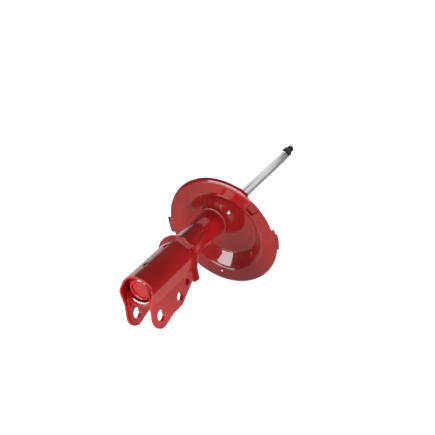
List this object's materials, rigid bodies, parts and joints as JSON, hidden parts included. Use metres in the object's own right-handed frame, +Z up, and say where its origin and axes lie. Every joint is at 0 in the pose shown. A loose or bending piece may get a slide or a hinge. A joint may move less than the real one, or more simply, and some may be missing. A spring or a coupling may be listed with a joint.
{
  "type": "suspension strut",
  "caption": "Red-painted suspension strut with a chromed rod, a knuckle bracket and an offset spring seat.",
  "frame": {"origin": "on the lower knuckle bolt's axis, midway between the ears", "axes": "+Z up the rod's axis, +X from the rod's axis towards the ears, +Y along the bolts, away from the ear with the hose clip's hole"},
  "size_m": [0.2337, 0.2459, 0.588],
  "materials": {
    "red_paint": "gloss deep red paint",
    "chrome": "ground and hard-chromed",
    "zinc": "zinc-plated",
    "drawn_steel": "drawn, oiled",
    "spring_steel": "blued spring steel",
    "sintered": "sintered iron, oiled",
    "bronze": "bronze-backed bearing",
    "rubber": "matte moulded rubber",
    "ptfe": "filled bearing plastic",
    "black_steel": "black-coated steel"
  },
  "bodies": {
    "damper_body": {"reserve_tube": "red_paint", "bottom_cap": "red_paint", "knuckle_bracket": "red_paint", "bracket_channel": "red_paint", "plug_welds": "red_paint", "spring_seat": "red_paint", "seat_weld": "red_paint", "bumper_cap": "zinc", "pressure_tube": "drawn_steel", "foot_valve_body": "sintered", "foot_valve_shims": "spring_steel", "foot_valve_bolt": "zinc", "foot_valve_spring": "spring_steel", "rod_guide": "sintered", "guide_bush": "bronze", "rod_seal": "rubber", "seal_washer": "zinc"},
    "foot_plate": {"foot_check_plate": "spring_steel"},
    "ring_carrier": {"piston_ring": "ptfe"},
    "rod": {"piston_rod": "chrome", "rebound_collar": "zinc", "rebound_bumper": "rubber", "piston": "sintered", "piston_stop": "zinc", "piston_spring": "spring_steel", "rebound_shims": "spring_steel", "shim_washer": "zinc", "piston_nut": "zinc"},
    "piston_plate": {"piston_check_plate": "spring_steel"},
    "nut": {"top_nut": "black_steel"}
  },
  "joints": [
    {"name": "rod_slide", "type": "slide", "parent": "damper_body", "child": "ring_carrier", "axis": [0, 0, 1], "range_m": [-0.15, 0], "stiffness_N_per_m": 300, "springref_m": 0.5},
    {"name": "rod_turn", "type": "hinge", "parent": "ring_carrier", "child": "rod", "pos_m": [-0.0485, 0, 0.2], "axis": [0, 0, 1], "continuous": true},
    {"name": "nut_lift", "type": "slide", "parent": "rod", "child": "nut", "axis": [0, 0, 1], "range_m": [0, 0.03]},
    {"name": "foot_plate_lift", "type": "slide", "parent": "damper_body", "child": "foot_plate", "axis": [0, 0, 1], "range_m": [0, 0.0012], "stiffness_N_per_m": 500, "springref_m": -0.001, "deforming": ["foot_valve_spring"]},
    {"name": "piston_plate_lift", "type": "slide", "parent": "rod", "child": "piston_plate", "axis": [0, 0, 1], "range_m": [0, 0.0012], "stiffness_N_per_m": 500, "springref_m": -0.001, "deforming": ["piston_spring"]}
  ]
}
